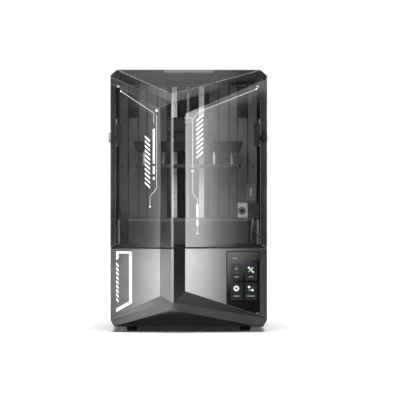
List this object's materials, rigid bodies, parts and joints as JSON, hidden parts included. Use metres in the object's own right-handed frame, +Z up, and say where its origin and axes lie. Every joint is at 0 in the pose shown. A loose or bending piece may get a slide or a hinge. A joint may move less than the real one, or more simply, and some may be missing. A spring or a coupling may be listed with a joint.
{
  "type": "resin printer",
  "caption": "Desktop resin printer with a faceted base, touch screen, tilting vat platform, vertical Z axis, build plate and tinted lid hinged at the rear.",
  "frame": {"origin": "centre of the footprint on the surface that the feet stand on", "axes": "+Z up, the screen faces -Y, +X to the right seen from the front"},
  "size_m": [0.3554, 0.3292, 0.548],
  "materials": {
    "base_paint": "satin silver-grey metallic paint",
    "dark_plastic": "fine-grained dark grey moulding",
    "tower_plastic": "matt charcoal moulding",
    "black_rubber": "black rubber",
    "black_glass": "polished black cover glass",
    "white_print": "white plastic frame",
    "bare_steel": "ground steel",
    "aluminium": "anodised aluminium",
    "dark_aluminium": "black anodised aluminium",
    "brass": "turned brass",
    "board_green": "solder mask over glass fibre",
    "chip_black": "moulded chip and connector bodies",
    "lamp_white": "white lamp board",
    "clear_lens": "clear moulded lens",
    "film_clear": "clear release film",
    "vat_grey": "grey anodised aluminium",
    "plate_grey": "bead-blasted plate",
    "lid_tint": "smoked transparent moulding",
    "cap_grey": "grey moulded cap",
    "rocker_red": "red rocker",
    "camera_grey": "grey camera face"
  },
  "bodies": {
    "base": {"base_housing": "base_paint", "bottom_plate": "dark_plastic", "rubber_feet": "black_rubber", "case_screws": "bare_steel", "screen_glass": "black_glass", "screen_module": "chip_black", "name_plate": "white_print", "usb_port": "bare_steel", "dc_inlet": "chip_black", "switch_frame": "chip_black", "mainboard": "board_green", "board_parts": "chip_black", "board_standoffs": "brass", "motor_lead": "chip_black", "light_board": "lamp_white", "heat_sink": "aluminium", "light_fan_frame": "chip_black", "reflector_box": "dark_plastic", "collimator_lens": "clear_lens", "tilt_motor": "dark_aluminium", "tilt_motor_stand": "aluminium", "tilt_hinge_blocks": "aluminium", "tilt_hinge_pins": "bare_steel", "tower_front_cover": "tower_plastic", "tower_back_cover": "dark_plastic", "column_profile": "dark_aluminium", "linear_rails": "bare_steel", "z_motor": "dark_aluminium", "z_motor_bracket": "aluminium", "screw_bearings": "dark_aluminium", "hinge_brackets": "dark_plastic", "hinge_pins": "bare_steel", "camera_module": "camera_grey", "camera_cable": "chip_black", "chamber_light": "tower_plastic", "exhaust_fan_frame": "chip_black"},
    "lid": {"lid_shell": "lid_tint", "lid_gasket": "black_rubber", "hinge_caps": "cap_grey"},
    "z_carriage": {"rail_carriages": "bare_steel", "lead_nut": "brass", "z_arm": "dark_aluminium", "plate_bracket": "dark_aluminium", "plate_posts": "bare_steel", "build_plate": "plate_grey"},
    "clamp": {"clamp_lever": "aluminium"},
    "screw": {"lead_screw": "bare_steel", "shaft_coupler": "aluminium"},
    "vat_platform": {"tilt_platform": "aluminium", "mask_display": "black_glass", "vat_film_frame": "aluminium", "vat_film": "film_clear", "vat_tank": "vat_grey", "latch_posts": "dark_plastic"},
    "left_latch": {"latch_left": "dark_plastic"},
    "right_latch": {"latch_right": "dark_plastic"},
    "rod": {"tilt_rod": "bare_steel"},
    "light_fan": {"light_fan_rotor": "chip_black"},
    "exhaust_fan": {"exhaust_fan_rotor": "chip_black"},
    "rocker": {"power_rocker": "rocker_red"}
  },
  "joints": [
    {"name": "lid_hinge", "type": "hinge", "parent": "base", "child": "lid", "pos_m": [0, 0.12, 0.416], "axis": [-1, 0, 0], "range_deg": [0, 75]},
    {"name": "z_slide", "type": "slide", "parent": "base", "child": "z_carriage", "axis": [0, 0, 1], "range_m": [-0.155, 0.065]},
    {"name": "screw_turn", "type": "hinge", "parent": "base", "child": "screw", "pos_m": [0, 0.104, 0.3], "axis": [0, 0, 1], "continuous": true},
    {"name": "clamp_swing", "type": "hinge", "parent": "z_carriage", "child": "clamp", "pos_m": [0, -0.036, 0.444], "axis": [1, 0, 0], "range_deg": [0, 95]},
    {"name": "platform_tilt", "type": "hinge", "parent": "base", "child": "vat_platform", "pos_m": [0, 0.081, 0.16], "axis": [1, 0, 0], "range_deg": [0, 4]},
    {"name": "rod_travel", "type": "slide", "parent": "base", "child": "rod", "axis": [0, 0, 1], "range_m": [-0.013, 0]},
    {"name": "left_latch_swing", "type": "hinge", "parent": "vat_platform", "child": "left_latch", "pos_m": [-0.15, -0.01, 0.245], "axis": [0, 0, -1], "range_deg": [0, 90]},
    {"name": "right_latch_swing", "type": "hinge", "parent": "vat_platform", "child": "right_latch", "pos_m": [0.15, -0.01, 0.245], "axis": [0, 0, 1], "range_deg": [0, 90]},
    {"name": "light_fan_spin", "type": "hinge", "parent": "base", "child": "light_fan", "pos_m": [0, -0.01, 0.026], "axis": [0, 0, 1], "continuous": true},
    {"name": "exhaust_fan_spin", "type": "hinge", "parent": "base", "child": "exhaust_fan", "pos_m": [0.095, 0.153, 0.25], "axis": [0, 1, 0], "continuous": true},
    {"name": "rocker_tip", "type": "hinge", "parent": "base", "child": "rocker", "pos_m": [-0.086, 0.1606, 0.046], "axis": [0, 0, 1], "range_deg": [0, 20]}
  ],
  "couplings": [
    {"joint": "screw_turn", "follows": "z_slide", "rad_per_m": 1570.8},
    {"joint": "rod_travel", "follows": "platform_tilt", "m_per_rad": -0.179}
  ]
}
